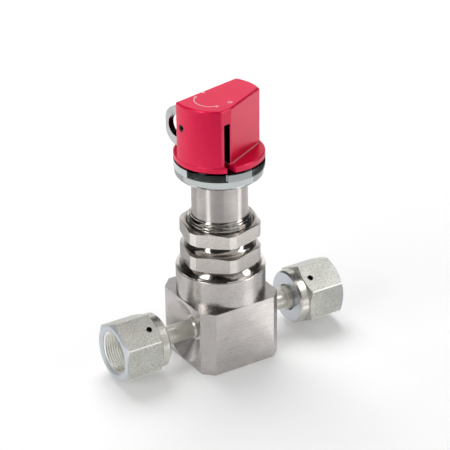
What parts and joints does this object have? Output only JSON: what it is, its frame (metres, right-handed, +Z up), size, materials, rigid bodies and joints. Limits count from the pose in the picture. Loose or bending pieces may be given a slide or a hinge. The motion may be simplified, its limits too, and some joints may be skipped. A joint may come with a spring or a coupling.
{
  "type": "manual diaphragm valve",
  "caption": "Compact quarter-turn diaphragm valve: square steel block, round sleeve, lockable red wing handle and face-seal nuts at both ports.",
  "frame": {"origin": "centre of the block's bottom face", "axes": "+X along the port axis towards the outlet, +Z up along the stem"},
  "size_m": [0.0858, 0.0302, 0.0939],
  "materials": {
    "block_steel": "satin turned and milled stainless steel",
    "polished_steel": "electropolished stainless steel",
    "nut_steel": "silver-grey stainless steel, rolled flats and turned ends",
    "sleeve_steel": "fine turned stainless steel",
    "turned_steel": "bright turned stainless steel",
    "stem_steel": "ground stainless steel",
    "chrome_ring": "mirror polished",
    "spring_steel": "plain spring steel",
    "screw_steel": "dark screw steel",
    "plate_steel": "stamped stainless steel",
    "red_anodised": "crimson anodised, satin",
    "bronze": "machined bronze",
    "seat_polymer": "plain moulded fluoropolymer",
    "bearing_polymer": "machined PEEK",
    "diaphragm_alloy": "thin rolled cobalt alloy",
    "seal_rubber": "moulded black rubber"
  },
  "bodies": {
    "valve": {"valve_body": "block_steel", "inlet_gland": "polished_steel", "outlet_gland": "polished_steel", "seat_ring": "seat_polymer", "diaphragm": "diaphragm_alloy", "bonnet": "sleeve_steel", "bonnet_nut": "turned_steel", "panel_nut": "turned_steel", "lower_thrust_washer": "bearing_polymer", "upper_thrust_washer": "bearing_polymer", "stem_bushing": "bronze", "stem_seal": "seal_rubber", "index_ring": "chrome_ring", "ring_clip": "spring_steel"},
    "handle": {"handle": "red_anodised", "stem": "stem_steel", "handle_set_screw": "screw_steel", "stop_pin": "spring_steel", "plate_plunger": "screw_steel", "plunger_ball": "polished_steel"},
    "lock": {"lock_plate": "plate_steel"},
    "lifter": {"lift_nut": "bronze", "button": "polished_steel"},
    "inlet_nut": {"inlet_nut": "nut_steel"},
    "outlet_nut": {"outlet_nut": "nut_steel"}
  },
  "joints": [
    {"name": "handle_turn", "type": "hinge", "parent": "valve", "child": "handle", "pos_m": [0, 0, 0.0695], "axis": [0, 0, 1], "range_deg": [0, 90]},
    {"name": "diaphragm_lift", "type": "slide", "parent": "valve", "child": "lifter", "axis": [0, 0, 1], "range_m": [0, 0.0009], "deforming": ["diaphragm"]},
    {"name": "lock_slide", "type": "slide", "parent": "handle", "child": "lock", "axis": [-0.2147, 0.9767, 0], "range_m": [-0.0111, 0]},
    {"name": "inlet_nut_spin", "type": "hinge", "parent": "valve", "child": "inlet_nut", "pos_m": [-0.033, 0, 0.0112], "axis": [1, 0, 0], "continuous": true},
    {"name": "outlet_nut_spin", "type": "hinge", "parent": "valve", "child": "outlet_nut", "pos_m": [0.033, 0, 0.0112], "axis": [1, 0, 0], "continuous": true}
  ],
  "couplings": [
    {"joint": "diaphragm_lift", "follows": "handle_turn", "m_per_rad": 0.00057295}
  ]
}
